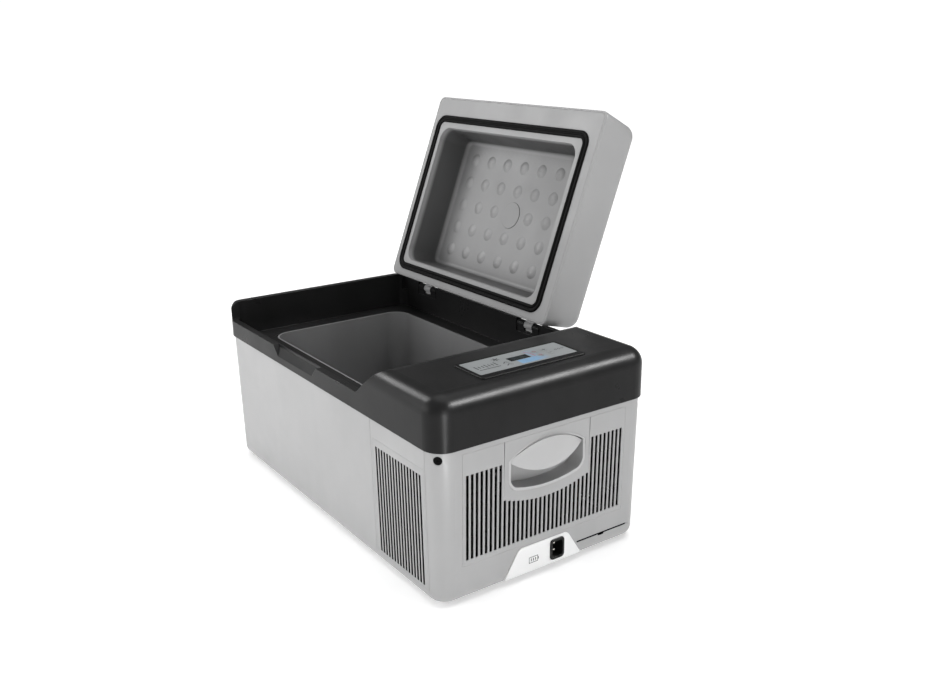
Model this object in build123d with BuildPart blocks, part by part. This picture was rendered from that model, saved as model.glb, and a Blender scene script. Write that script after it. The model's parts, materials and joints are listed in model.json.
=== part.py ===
from build123d import *
import os
from math import radians, tan

# Compressor cooler fridge of the 15 litre class, standing on its feet with the lid open.
# Millimetres, +Z up, origin on the floor under the middle of the body.
# +X is the machine end, -Y is the side that the lid opens from, the hinge runs along +Y.

# ---------------------------------------------------------------- driving dimensions
# body
LENGTH = 570.0              # black top frame along X
WIDTH = 318.0               # black top frame along Y
FOOT_H = 3.0                # gap between the floor and the casing
TRIM_Z = 194.0              # where the casing ends and the top frame begins
RIM_Z = 217.5               # top of the frame's front wall
FAR_Z = 242.5               # top of the frame's far end wall
FAR_R = 18.0                # round at the front end of the far wall's top
REAR_Z = 236.0              # top of the rear wall, which hides the gap under the open lid
HUMP_Z = 257.0              # top of the machine hump
HUMP_R = 22.0               # round along the hump's top edges
LEDGE_Z = 190.0             # ledge that the lid gasket lands on
CORNER_R = 25.0             # vertical corners of the body
OVERHANG = 2.0              # the frame stands this far out over the casing
DRAFT = 1.0                 # lean of the casing walls, degrees
CASE_WALL = 2.5
CASE_FLOOR = 3.0
BASE_R = 12.0               # round along the bottom edge of the casing

# well in the frame that the closed lid sinks into
WELL_X0 = -274.0
WELL_X1 = 124.5
WELL_Y = 149.5

# lid, given as it lies when it is closed
LID_X0 = -271.0
LID_X1 = 122.0
LID_Y0 = -148.0
LID_Y1 = 146.0
LID_RIM_Z = 193.0
LID_T = 69.0
LID_DRAFT = 4.0
LID_CORNER_R = 10.0         # upright corners at the rim
LID_CROWN_R = 20.0          # and at the top
LID_TOP_R = 16.0
LID_WALL = 3.0
LID_OPEN = 110.65           # degrees from closed to the open stop

# hinges
HINGE_Y = 154.5
HINGE_Z = 229.0
HINGE_X = (-205.0, 55.0)
PIN_R = 2.0
PIN_PLAY = 0.05
BARREL_R = 5.5

# gasket, and the bowl in the underside of the lid
SEAL_X0 = -258.5
SEAL_X1 = 102.5
SEAL_Y0 = -118.0
SEAL_Y1 = 134.0
SEAL_BAND = 9.5
SEAL_R = 19.0
SEAL_Z0 = 190.7
SEAL_Z1 = 195.0
BOWL_X0 = -241.0
BOWL_X1 = 84.0
BOWL_Y0 = -99.5
BOWL_Y1 = 118.0
BOWL_R = 19.0
BOWL_DEPTH = 53.0
BOWL_DRAFT = 8.0
BUMP_PITCH_X = 41.5
BUMP_PITCH_Y = 36.5
BUMP_R = 10.0
BUMP_H = 2.0
PLUG_R = 20.0

# storage tub
TUB_X0 = -244.0
TUB_X1 = 86.0
TUB_Y0 = -103.0
TUB_Y1 = 121.0
TUB_R = 26.0
TUB_FLOOR_Z = 32.0
TUB_WALL = 2.0
TUB_DRAFT = 1.2

# grilles
SIDE_X0 = 145.0
SIDE_X1 = 257.0
SIDE_Z0 = 17.0
SIDE_Z1 = 169.0
SIDE_SLOTS = 16
SIDE_PITCH = 6.38
SIDE_SLOT_X = 200.75        # middle of the row of slots
SIDE_SLOT_Z = (20.5, 160.0)
END_Y = 122.0
END_Z0 = 47.0
END_Z1 = 187.0
END_SLOTS = 36
END_PITCH = 6.58
END_SLOT_Z = (53.7, 160.0)
ARCH_SLOTS = 20             # the slots under the handle are shorter
ARCH_Z = 102.5              # their top in the middle
ARCH_RISE = 12.5            # and how much higher it is at the sides
SLOT_W = 3.9
RIB_PITCH = 18.0
RIB_T = 1.4
PANEL_GAP = 0.25            # joint line around each inserted panel
SEAM_X = (141.0, 260.0)     # fine moulded lines down the side walls beside the panels
SEAM_W = 0.6
SEAM_DEPTH = 0.4

# carry handles
GRIP_X = 282.0              # plane of the handle's mouth
GRIP_HALF = 54.5
GRIP_TOP_Z = 177.5
GRIP_SIDE_Z = 161.0
GRIP_LOW_Z = 119.0
GRIP_WALL = 3.0
GRIP_DEPTH = 25.0
FAR_GRIP_DEPTH = 20.0
LENS_R = 200.0              # dome of the grip lip
LENS_PROUD = 4.5

# control pod on the hump
POD_X0 = 200.0
POD_X1 = 259.0
POD_Y = 76.5
POD_Z0 = 255.4
POD_Z1 = 258.6
POD_R = 4.0
LABEL_X0 = 204.0
LABEL_X1 = 248.5
LABEL_Y = 71.5
LABEL_T = 0.5
LABEL_R = 2.0
SCREEN_X = 225.0
SCREEN_W = 12.4
SCREEN_L = 29.4
KEY_R = 4.2
KEY_PLACES = {
    "key_power": (219.0, 28.0),
    "key_set": (232.0, 28.0),
    "key_up": (219.0, 43.0),
    "key_down": (232.0, 43.0),
}

# power inlet
INLET_Y = 17.0
INLET_Z = 26.3
PLATE_X0 = 278.6
PLATE_X1 = 281.2
PIN_PITCH = 9.5

# machine bay
BULKHEAD_X = 118.8
TRAY_Z0 = 6.3
TRAY_Z1 = 8.3
COMPRESSOR_X = 184.0
COMPRESSOR_Y = 78.0
COMPRESSOR_R = 42.0
COMPRESSOR_Z0 = 18.0
COMPRESSOR_Z1 = 116.0
MOUNT_REACH = 38.0
COIL_X = 244.0
COIL_R = 3.2
COIL_ROWS = (24.0, 40.0, 56.0, 72.0, 88.0)
COIL_Y0 = -120.0
COIL_Y1 = 40.0
FIN_PITCH = 4.5
FIN_COUNT = 30
FIN_Y0 = -105.0
FAN_X = 205.0
FAN_Y = -50.0
FAN_Z = 62.0
FAN_SIZE = 92.0
FAN_DEPTH = 25.0
FAN_BORE_R = 43.5
BLADES = 7
SHAFT_R = 1.5
DRIER_X = 150.0
DRIER_Y = -20.0

# cuts through a wall run from well inside it to well outside it
IN_X = 265.0
OUT_X = 290.0
IN_Y = 140.0
OUT_Y = 165.0
FAR_CUT = 300.0             # longer than the body

# clearances
FIT = 0.2                   # around a piece that sits in its seat
SCREW_HOLE_R = 2.3
INLET_HOLE_Y = 10.2
INLET_HOLE_Z = 13.0

# sizes that follow
CASE_L = LENGTH - 2 * OVERHANG
CASE_W = WIDTH - 2 * OVERHANG
LID_TOP_Z = LID_RIM_Z + LID_T
BOWL_CX = (BOWL_X0 + BOWL_X1) / 2
BOWL_CY = (BOWL_Y0 + BOWL_Y1) / 2
BOWL_FLOOR_Z = LID_RIM_Z + BOWL_DEPTH
HINGE_AXIS = Axis((0, HINGE_Y, HINGE_Z), (1, 0, 0))
STANDING = (Align.CENTER, Align.CENTER, Align.MIN)
ALONG_X = Plane.YZ
CORNER_X = CASE_L / 2 - CORNER_R
CORNER_Y = CASE_W / 2 - CORNER_R
CORNER_SCREW_Z = 184.5
CORNERS = [(sx, sy) for sx in (-1, 1) for sy in (-1, 1)]
CORNER_PLANES = [
    Plane((sx * CORNER_X, sy * CORNER_Y, CORNER_SCREW_Z), x_dir=(0, 0, 1), z_dir=(sx, sy, 0))
    for sx, sy in CORNERS
]
FOOT_PLACES = [(sx * 235, sy * 115) for sx, sy in CORNERS]
TRAY_SCREWS = [(x, y) for x in (130, 215) for y in (-128, 128)]


# ---------------------------------------------------------------- shared shapes
def span(x0, x1, y0, y1, z0, z1):
    """A plain block between two corners."""
    block = Box(x1 - x0, y1 - y0, z1 - z0, mode=Mode.PRIVATE)
    return Pos((x0 + x1) / 2, (y0 + y1) / 2, (z0 + z1) / 2) * block


def tray(x0, x1, y0, y1, z0, height, radius, taper=0.0, bottom_round=0.0, top_round=0.0):
    """A block with round upright corners. Its sides lean in by taper going up."""
    with BuildPart() as block:
        with BuildSketch(Plane.XY.offset(z0)):
            with Locations(((x0 + x1) / 2, (y0 + y1) / 2)):
                RectangleRounded(x1 - x0, y1 - y0, radius)
        extrude(amount=height, taper=taper)
        if bottom_round:
            fillet(block.faces().sort_by(Axis.Z)[0].edges(), bottom_round)
        if top_round:
            fillet(block.faces().sort_by(Axis.Z)[-1].edges(), top_round)
    return block.part


def casing_form(shrink, z0, z1, bottom_round):
    """The casing's form between two heights, smaller by shrink on every side."""
    lean = (TRIM_Z - z0) * tan(radians(DRAFT))
    x = CASE_L / 2 - lean - shrink
    y = CASE_W / 2 - lean - shrink
    radius = CORNER_R - lean - shrink / 2
    return tray(-x, x, -y, y, z0, z1 - z0, radius, taper=-DRAFT, bottom_round=bottom_round)


def tub_form(wall, z0, z1, bottom_round):
    """The tub's form between two heights, larger by wall on every side."""
    lean = (LEDGE_Z - z0) * tan(radians(TUB_DRAFT))
    grow = wall - lean
    return tray(
        TUB_X0 - grow,
        TUB_X1 + grow,
        TUB_Y0 - grow,
        TUB_Y1 + grow,
        z0,
        z1 - z0,
        TUB_R - lean,
        taper=-TUB_DRAFT,
        bottom_round=bottom_round,
    )


def lid_section(shrink, z):
    """The closed lid's outline at one height, smaller by shrink on every side."""
    rise = z - LID_RIM_Z
    inset = shrink + rise * tan(radians(LID_DRAFT))
    radius = LID_CORNER_R + (LID_CROWN_R - LID_CORNER_R) * rise / LID_T - shrink
    with BuildSketch(Plane.XY.offset(z)) as section:
        with Locations(((LID_X0 + LID_X1) / 2, (LID_Y0 + LID_Y1) / 2)):
            RectangleRounded(LID_X1 - LID_X0 - 2 * inset, LID_Y1 - LID_Y0 - 2 * inset, radius)
    return section.sketch


def lid_form(shrink, z0, z1, top_round):
    """The closed lid's form between two heights, smaller by shrink on every side."""
    with BuildPart() as block:
        add(lid_section(shrink, z0))
        add(lid_section(shrink, z1))
        loft(ruled=True)
        if top_round:
            fillet(block.faces().sort_by(Axis.Z)[-1].edges(), top_round)
    return block.part


def bowl_form(wall, z0, z1, top_round):
    """The form of the bowl in the closed lid, larger by wall on every side."""
    inset = (z0 - LID_RIM_Z) * tan(radians(BOWL_DRAFT)) - wall
    return tray(
        BOWL_X0 + inset,
        BOWL_X1 - inset,
        BOWL_Y0 + inset,
        BOWL_Y1 - inset,
        z0,
        z1 - z0,
        BOWL_R - inset,
        taper=BOWL_DRAFT,
        top_round=top_round,
    )


def seal_ring(z0, z1, slack):
    """The gasket's ring between two heights, wider by slack on each side of its band."""
    outer = tray(
        SEAL_X0 - slack,
        SEAL_X1 + slack,
        SEAL_Y0 - slack,
        SEAL_Y1 + slack,
        z0,
        z1 - z0,
        SEAL_R + slack,
    )
    inset = SEAL_BAND + slack
    inner = tray(
        SEAL_X0 + inset,
        SEAL_X1 - inset,
        SEAL_Y0 + inset,
        SEAL_Y1 - inset,
        z0 - 1,
        z1 - z0 + 2,
        SEAL_R - inset,
    )
    return outer - inner


def grip_outline(grow):
    """The handle's mouth on the end wall: arched top, straight sides, bowed bottom."""
    half = GRIP_HALF + grow
    low = GRIP_LOW_Z - grow
    bow = 9.0
    with BuildSketch(ALONG_X) as mouth:
        with BuildLine():
            ThreePointArc((-half, GRIP_SIDE_Z), (0, GRIP_TOP_Z + grow), (half, GRIP_SIDE_Z))
            Line((half, GRIP_SIDE_Z), (half, low + bow))
            ThreePointArc((half, low + bow), (0, low), (-half, low + bow))
            Line((-half, low + bow), (-half, GRIP_SIDE_Z))
        make_face()
        fillet(mouth.vertices().group_by(Axis.Y)[0], 14 + grow)
    return mouth.sketch


def lens_outline():
    """The grip lip: two arcs that meet in a point at each side."""
    tip = GRIP_HALF + 0.6
    tip_z = GRIP_SIDE_Z - 3
    with BuildSketch(ALONG_X) as lens:
        with BuildLine():
            ThreePointArc((-tip, tip_z), (0, GRIP_TOP_Z + 0.6), (tip, tip_z))
            ThreePointArc((tip, tip_z), (0, 139.5), (-tip, tip_z))
        make_face()
    return lens.sketch


def carry_handle(depth):
    """A recessed handle for the +X end: a cup with a domed lip across its upper half."""
    with BuildPart() as handle:
        extrude(Pos(X=GRIP_X - depth) * grip_outline(GRIP_WALL), amount=depth)
        extrude(
            Pos(X=GRIP_X - depth + GRIP_WALL) * grip_outline(0),
            amount=depth,
            mode=Mode.SUBTRACT,
        )
    dome_x = GRIP_X + LENS_PROUD - LENS_R
    dome = Sphere(LENS_R) - Sphere(LENS_R - 5)
    lip = extrude(Pos(X=GRIP_X - 20) * lens_outline(), amount=30) & (Pos(dome_x, 0, 158) * dome)
    return handle.part + lip


def inlet_outline(grow):
    """The white plate around the power inlet, wider at the bottom."""
    with BuildSketch(ALONG_X) as plate:
        with BuildLine():
            Polyline(
                (-62.5 - grow, 8.5 - grow),
                (55.5 + grow, 8.5 - grow),
                (33.5 + grow, 43.4 + grow),
                (-41.0 - grow, 43.4 + grow),
                close=True,
            )
        make_face()
        fillet(plate.vertices().group_by(Axis.Y)[-1], 9)
    return plate.sketch


def pipe(points, bends, radius):
    """A tube along straight runs joined by bends."""
    with BuildPart() as tube:
        with BuildLine() as path:
            FilletPolyline(*points, radius=bends)
        start = path.line ^ 0
        with BuildSketch(Plane(start.position, z_dir=path.line % 0)):
            Circle(radius)
        sweep()
    return tube.part


def open_lid(piece):
    """Turn a piece of the closed lid about the hinge to where it stands open."""
    return piece.rotate(HINGE_AXIS, -LID_OPEN)


pieces = {}

# ---------------------------------------------------------------- casing and its panels
with BuildPart() as walls:
    add(casing_form(0, FOOT_H, TRIM_Z, BASE_R))
    add(casing_form(CASE_WALL, FOOT_H + CASE_FLOOR, TRIM_Z + 1, BASE_R - 2), mode=Mode.SUBTRACT)

inlet_hole = span(
    IN_X,
    OUT_X,
    INLET_Y - INLET_HOLE_Y,
    INLET_Y + INLET_HOLE_Y,
    INLET_Z - INLET_HOLE_Z,
    INLET_Z + INLET_HOLE_Z,
)

with BuildPart() as outer_casing:
    add(walls.part)
    # windows for the grille panels in the front, rear and machine end walls
    add(span(SIDE_X0, SIDE_X1, -OUT_Y, -IN_Y, SIDE_Z0, SIDE_Z1), mode=Mode.SUBTRACT)
    add(span(SIDE_X0, SIDE_X1, IN_Y, OUT_Y, SIDE_Z0, SIDE_Z1), mode=Mode.SUBTRACT)
    add(span(IN_X, OUT_X, -END_Y, END_Y, END_Z0, END_Z1), mode=Mode.SUBTRACT)
    # mouth of the far handle
    extrude(Pos(X=-OUT_X) * grip_outline(GRIP_WALL + FIT), amount=30, mode=Mode.SUBTRACT)
    # seat of the white plate, with the hole for the power inlet
    extrude(Pos(X=PLATE_X0) * inlet_outline(FIT), amount=10, mode=Mode.SUBTRACT)
    add(inlet_hole, mode=Mode.SUBTRACT)
    # moulded joint line beside the plate, with its pry notch
    add(span(279.0, OUT_X, 50, 137, 21.8, 24.2), mode=Mode.SUBTRACT)
    add(span(PLATE_X0, OUT_X, 85, 95, 20.0, 24.2), mode=Mode.SUBTRACT)
    # moulded lines down both side walls, from the bottom round to the frame
    skin = casing_form(SEAM_DEPTH, FOOT_H, TRIM_Z + 1, 0)
    for x in SEAM_X:
        for y0, y1 in ((-OUT_Y, -IN_Y), (IN_Y, OUT_Y)):
            line = span(x - SEAM_W / 2, x + SEAM_W / 2, y0, y1, FOOT_H + BASE_R, TRIM_Z + 1)
            add(line - skin, mode=Mode.SUBTRACT)
    for plane in CORNER_PLANES:
        with BuildSketch(plane.offset(CORNER_R - 2.2)):
            Circle(5.2)
        extrude(amount=8, mode=Mode.SUBTRACT)
        with BuildSketch(plane.offset(5)):
            Circle(SCREW_HOLE_R)
        extrude(amount=22, mode=Mode.SUBTRACT)
    # foot seats and counterbored holes of the tray screws
    with BuildSketch(Plane.XY):
        with Locations(*FOOT_PLACES):
            Circle(11.2)
    extrude(amount=FOOT_H + 1, mode=Mode.SUBTRACT)
    with BuildSketch(Plane.XY):
        with Locations(*TRAY_SCREWS):
            Circle(4.3)
    extrude(amount=FOOT_H + 1.5, mode=Mode.SUBTRACT)
    with BuildSketch(Plane.XY):
        with Locations(*TRAY_SCREWS):
            Circle(2.2)
    extrude(amount=10, mode=Mode.SUBTRACT)
pieces["outer_casing"] = outer_casing.part


def wall_face(z):
    """How far the casing's outer face has leaned in at this height."""
    return (TRIM_Z - z) * tan(radians(DRAFT))


with BuildPart() as front_grille:
    add(walls.part)
    add(
        span(
            SIDE_X0 + PANEL_GAP,
            SIDE_X1 - PANEL_GAP,
            -OUT_Y,
            -IN_Y,
            SIDE_Z0 + PANEL_GAP,
            SIDE_Z1 - PANEL_GAP,
        ),
        mode=Mode.INTERSECT,
    )
    for i in range(SIDE_SLOTS):
        x = SIDE_SLOT_X + (i - (SIDE_SLOTS - 1) / 2) * SIDE_PITCH
        slot = span(x - SLOT_W / 2, x + SLOT_W / 2, -OUT_Y, -IN_Y, *SIDE_SLOT_Z)
        add(slot, mode=Mode.SUBTRACT)
    # thin ribs across the back of the slots
    for i in range(7):
        z = 39 + i * RIB_PITCH
        y = -CASE_W / 2 + wall_face(z) + CASE_WALL
        add(span(SIDE_X0 + 3, SIDE_X1 - 3, y - 0.9, y + 2.2, z, z + RIB_T))
pieces["front_grille"] = front_grille.part
pieces["rear_grille"] = mirror(front_grille.part, about=Plane.XZ)

with BuildPart() as end_grille:
    add(walls.part)
    add(
        span(
            IN_X,
            OUT_X,
            -END_Y + PANEL_GAP,
            END_Y - PANEL_GAP,
            END_Z0 + PANEL_GAP,
            END_Z1 - PANEL_GAP,
        ),
        mode=Mode.INTERSECT,
    )
    arch_half = ARCH_SLOTS / 2 * END_PITCH
    for i in range(END_SLOTS):
        y = (i - (END_SLOTS - 1) / 2) * END_PITCH
        top = END_SLOT_Z[1]
        if abs(y) < arch_half:
            top = ARCH_Z + ARCH_RISE * (y / arch_half) ** 2
        slot = span(IN_X, OUT_X, y - SLOT_W / 2, y + SLOT_W / 2, END_SLOT_Z[0], top)
        add(slot, mode=Mode.SUBTRACT)
    for i in range(6):
        z = 62 + i * RIB_PITCH
        x = CASE_L / 2 - wall_face(z) - CASE_WALL
        if z < ARCH_Z:
            add(span(x - 2.2, x + 0.9, -END_Y + 3, END_Y - 3, z, z + RIB_T))
        else:
            add(span(x - 2.2, x + 0.9, -END_Y + 3, -arch_half, z, z + RIB_T))
            add(span(x - 2.2, x + 0.9, arch_half, END_Y - 3, z, z + RIB_T))
    # mouth of the handle, and the two shallow lines that frame it
    extrude(Pos(X=IN_X) * grip_outline(GRIP_WALL + FIT), amount=OUT_X - IN_X, mode=Mode.SUBTRACT)
    for y in (-64, 64):
        line = span(281.6, OUT_X, y - 0.5, y + 0.5, 117, END_Z1)
        add(line, mode=Mode.SUBTRACT)
pieces["end_grille"] = end_grille.part

pieces["end_handle"] = carry_handle(GRIP_DEPTH)
pieces["far_handle"] = mirror(carry_handle(FAR_GRIP_DEPTH), about=Plane.YZ)

with BuildPart() as corner_screws:
    for plane in CORNER_PLANES:
        with BuildSketch(plane.offset(CORNER_R - 2.2)):
            Circle(4.8)
            Rectangle(5, 1.2, mode=Mode.SUBTRACT)
            Rectangle(1.2, 5, mode=Mode.SUBTRACT)
        extrude(amount=1.6)
        with BuildSketch(plane.offset(CORNER_R - 14)):
            Circle(2.2)
        extrude(amount=12.4)
pieces["corner_screws"] = corner_screws.part

with BuildPart() as feet:
    with BuildSketch(Plane.XY):
        with Locations(*FOOT_PLACES):
            Circle(11)
    extrude(amount=FOOT_H + 1)
    chamfer(feet.faces().group_by(Axis.Z)[0].edges(), 0.8)
pieces["feet"] = feet.part

# ---------------------------------------------------------------- black top frame
with BuildPart() as hump_void:
    add(tray(60, 281.5, -155.5, 155.5, 180, 73.5, 22, top_round=18))
    with BuildSketch(Plane.XZ):
        with BuildLine():
            Polyline((0, 150), (129, 150), (129, 225), (163, 253.6), (163, 300), (0, 300), close=True)
        make_face()
    extrude(amount=FAR_CUT, both=True, mode=Mode.SUBTRACT)

with BuildPart() as scoop:
    # finger scoop: a slope cut into the outer edge of the front wall
    with BuildSketch(Plane.XZ):
        with BuildLine():
            Polyline((-120, 219), (-106, 204), (-4, 204), (10, 219), close=True)
        make_face()
    extrude(amount=FAR_CUT, both=True)
    with BuildSketch(Plane.YZ):
        with BuildLine():
            Polyline((-165, 204), (-159, 204), (-150.8, 214), (-150.8, 230), (-165, 230), close=True)
        make_face()
    extrude(amount=FAR_CUT, both=True, mode=Mode.INTERSECT)

with BuildPart() as rear_wall:
    # the rear wall stands higher, and is notched for the two hinges
    with BuildSketch(Plane.XZ.offset(-OUT_Y)):
        with BuildLine():
            Polyline(
                (WELL_X0, RIM_Z - 2),
                (WELL_X0, FAR_Z),
                (WELL_X0 + 8, FAR_Z),
                (WELL_X0 + 24, REAR_Z),
                (134, REAR_Z),
                (145, RIM_Z - 2),
                close=True,
            )
        make_face()
    extrude(amount=OUT_Y - WELL_Y)
    outline = tray(
        -LENGTH / 2, LENGTH / 2, -WIDTH / 2, WIDTH / 2, TRIM_Z, FAR_Z - TRIM_Z, CORNER_R, top_round=1.5
    )
    add(outline, mode=Mode.INTERSECT)
    for x in HINGE_X:
        add(span(x - 26, x + 26, IN_Y, OUT_Y, RIM_Z, FAR_Z), mode=Mode.SUBTRACT)

with BuildPart() as top_frame:
    half_l = LENGTH / 2
    half_w = WIDTH / 2
    add(tray(-half_l, half_l, -half_w, half_w, TRIM_Z, HUMP_Z - TRIM_Z, CORNER_R, top_round=HUMP_R))
    # the front wall is low along the well and rises in a curve to the hump
    with BuildSketch(Plane.XZ) as above_walls:
        with BuildLine():
            Polyline(
                (-300, FAR_Z),
                (WELL_X0 + 2, FAR_Z),
                (WELL_X0 + 2, RIM_Z),
                (114, RIM_Z),
                (161, HUMP_Z),
                (200, HUMP_Z),
                (200, 300),
                (-300, 300),
                close=True,
            )
        make_face()
        fillet(above_walls.vertices().filter_by_position(Axis.X, 113, 115), 12)
        fillet(above_walls.vertices().filter_by_position(Axis.X, 160, 162), 30)
    extrude(amount=FAR_CUT, both=True, mode=Mode.SUBTRACT)
    # the far wall's top is rounded where it comes down to the front wall
    with BuildSketch(Plane.YZ.offset(-OUT_X)):
        low = (-half_w - 0.5, FAR_Z - FAR_R)
        high = (FAR_R - half_w, FAR_Z + 0.5)
        middle = (-half_w + 0.3 * FAR_R, FAR_Z - 0.3 * FAR_R)
        with BuildLine():
            ThreePointArc(low, middle, high)
            Polyline(high, (high[0], HUMP_Z), (-OUT_Y, HUMP_Z), (-OUT_Y, low[1]), low)
        make_face()
    extrude(amount=OUT_X + WELL_X0 + 4, mode=Mode.SUBTRACT)
    add(rear_wall.part)
    # ledge plate around the tub
    add(tray(-279.5, 129, -151.5, 151.5, LEDGE_Z - 4, 9, 20))
    add(hump_void.part, mode=Mode.SUBTRACT)
    add(tray(WELL_X0, WELL_X1, -WELL_Y, WELL_Y, LEDGE_Z, 100, 14), mode=Mode.SUBTRACT)
    add(tub_form(TUB_WALL + 0.3, LEDGE_Z - 10, LEDGE_Z + 5, 0), mode=Mode.SUBTRACT)
    # skirt that plugs into the casing
    add(tray(-279.9, 279.9, -151.9, 151.9, 181, 14, 21))
    add(tray(-277.4, 277.4, -149.4, 149.4, 180, 6, 19), mode=Mode.SUBTRACT)
    add(tray(129, 277.4, -149.4, 149.4, 180, 20, 19), mode=Mode.SUBTRACT)
    add(tray(WELL_X0, WELL_X1, -WELL_Y, WELL_Y, LEDGE_Z, 20, 14), mode=Mode.SUBTRACT)
    add(tub_form(TUB_WALL + 0.3, LEDGE_Z - 10, LEDGE_Z + 5, 0), mode=Mode.SUBTRACT)
    add(scoop.part, mode=Mode.SUBTRACT)
    # seat of the control pod, and the hole under it for the display's ribbon
    seat = tray(
        POD_X0 - FIT, POD_X1 + FIT, -POD_Y - FIT, POD_Y + FIT, POD_Z0, 10, POD_R + FIT
    )
    add(seat, mode=Mode.SUBTRACT)
    add(span(214, 238, -12, 12, 240, 260), mode=Mode.SUBTRACT)
    for plane in CORNER_PLANES:
        with BuildSketch(plane.offset(5)):
            Circle(SCREW_HOLE_R)
        extrude(amount=22, mode=Mode.SUBTRACT)
pieces["top_frame"] = top_frame.part

# ---------------------------------------------------------------- tub, foam and cold plate
with BuildPart() as tub_liner:
    add(tub_form(TUB_WALL, TUB_FLOOR_Z - TUB_WALL, LEDGE_Z, 18))
    add(tub_form(0, TUB_FLOOR_Z, LEDGE_Z + 1, 16), mode=Mode.SUBTRACT)
pieces["tub_liner"] = tub_liner.part

# cold plate wrapped around the tub, a plain band with its two stub pipes left out
with BuildPart() as evaporator:
    add(tray(TUB_X0 - 4.2, TUB_X1 + 4.2, TUB_Y0 - 4.2, TUB_Y1 + 4.2, 80, 85, TUB_R + 4))
    for i in range(5):
        # the channel that the refrigerant runs in stands out of the band
        z = 88 + i * 17
        add(tray(TUB_X0 - 6, TUB_X1 + 6, TUB_Y0 - 6, TUB_Y1 + 6, z - 2.5, 5, TUB_R + 6))
    add(
        tray(TUB_X0 - 2.7, TUB_X1 + 2.7, TUB_Y0 - 2.7, TUB_Y1 + 2.7, 79, 87, TUB_R + 2.5),
        mode=Mode.SUBTRACT,
    )
pieces["evaporator"] = evaporator.part

with BuildPart() as foam_jacket:
    add(tray(-276.5, 118.4, -150.3, 150.3, TRAY_Z0 + 1, 173, 19, bottom_round=7))
    foam_hole = tray(TUB_X0 - 6.5, TUB_X1 + 6.5, TUB_Y0 - 6.5, TUB_Y1 + 6.5, 29.7, 170, TUB_R + 6)
    add(foam_hole, mode=Mode.SUBTRACT)
    add(span(-290, -260, -59, 59, 114, 190), mode=Mode.SUBTRACT)
pieces["foam_jacket"] = foam_jacket.part

# ---------------------------------------------------------------- machine bay
with BuildPart() as bulkhead:
    add(casing_form(CASE_WALL + 0.5, FOOT_H + CASE_FLOOR + 0.5, 180.5, BASE_R - 2))
    add(span(BULKHEAD_X, BULKHEAD_X + 2, -160, 160, 0, 190), mode=Mode.INTERSECT)
    # holes for the two pipes that reach the cold plate
    with BuildSketch(Plane.YZ):
        with Locations((COMPRESSOR_Y, 150), (DRIER_Y, 140)):
            Circle(4)
    extrude(amount=200, mode=Mode.SUBTRACT)
pieces["bulkhead"] = bulkhead.part

with BuildPart() as machine_tray:
    add(span(124, 264, -138, 138, TRAY_Z0, TRAY_Z1))
    for y in (-138, 136.5):
        add(span(124, 264, y, y + 1.5, TRAY_Z0, 20))
    with BuildSketch(Plane.XY):
        with Locations(*TRAY_SCREWS):
            Circle(2.1)
    extrude(amount=30, mode=Mode.SUBTRACT)
pieces["machine_tray"] = machine_tray.part

with BuildPart() as tray_screws:
    for x, y in TRAY_SCREWS:
        add(Pos(x, y, FOOT_H + 0.1) * Cylinder(4, 1.4, align=STANDING, mode=Mode.PRIVATE))
        add(Pos(x, y, FOOT_H + 1.4) * Cylinder(2, 8, align=STANDING, mode=Mode.PRIVATE))
pieces["tray_screws"] = tray_screws.part

MOUNT_PLACES = [(sx * MOUNT_REACH, sy * MOUNT_REACH) for sx, sy in CORNERS]
COMPRESSOR_PLANE = Plane((COMPRESSOR_X, COMPRESSOR_Y, 0))
with BuildPart(COMPRESSOR_PLANE) as compressor:
    with Locations((0, 0, COMPRESSOR_Z0)):
        Cylinder(COMPRESSOR_R, COMPRESSOR_Z1 - COMPRESSOR_Z0, align=STANDING)
    fillet(compressor.edges().filter_by(GeomType.CIRCLE), 24)
    with Locations((0, 0, 70)):
        Cylinder(COMPRESSOR_R + 1.5, 4)
    # terminal box on the side and the foot plate under the shell
    with Locations((-8, -COMPRESSOR_R - 3, 75)):
        Box(34, 12, 30)
    with Locations((0, 0, 17)):
        Box(94, 94, 2.5, align=STANDING)
    with Locations(*[(x, y, 18) for x, y in MOUNT_PLACES]):
        Cylinder(4.1, 12, mode=Mode.SUBTRACT)
pieces["compressor"] = compressor.part

with BuildPart() as compressor_mounts:
    with BuildSketch(Plane((COMPRESSOR_X, COMPRESSOR_Y, TRAY_Z1))):
        with Locations(*MOUNT_PLACES):
            Circle(7)
    extrude(amount=17 - TRAY_Z1)
    with BuildSketch(Plane((COMPRESSOR_X, COMPRESSOR_Y, 16))):
        with Locations(*MOUNT_PLACES):
            Circle(4)
    extrude(amount=4.5)
    with BuildSketch(Plane((COMPRESSOR_X, COMPRESSOR_Y, 19.5))):
        with Locations(*MOUNT_PLACES):
            Circle(6)
    extrude(amount=3)
pieces["compressor_mounts"] = compressor_mounts.part

# condenser: a stack of fins with one tube winding through it
with BuildPart() as condenser_fins:
    for i in range(FIN_COUNT):
        y = FIN_Y0 + i * FIN_PITCH
        add(span(COIL_X - 11, COIL_X + 11, y, y + 0.4, 16, 96))
    for y in (FIN_Y0 - 3, FIN_Y0 + FIN_COUNT * FIN_PITCH):
        add(span(COIL_X - 11.5, COIL_X + 11.5, y, y + 1.2, TRAY_Z1, 97))
    with BuildSketch(Plane.XZ.offset(-60)):
        with Locations(*[(COIL_X, z) for z in COIL_ROWS]):
            Circle(COIL_R + 0.05)
    extrude(amount=200, mode=Mode.SUBTRACT)
pieces["condenser_fins"] = condenser_fins.part

coil_points = []
for i, z in enumerate(COIL_ROWS):
    ends = (COIL_Y1, COIL_Y0) if i % 2 == 0 else (COIL_Y0, COIL_Y1)
    coil_points += [(COIL_X, y, z) for y in ends]
pieces["condenser_coil"] = pipe(coil_points, 7.9, COIL_R)

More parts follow.
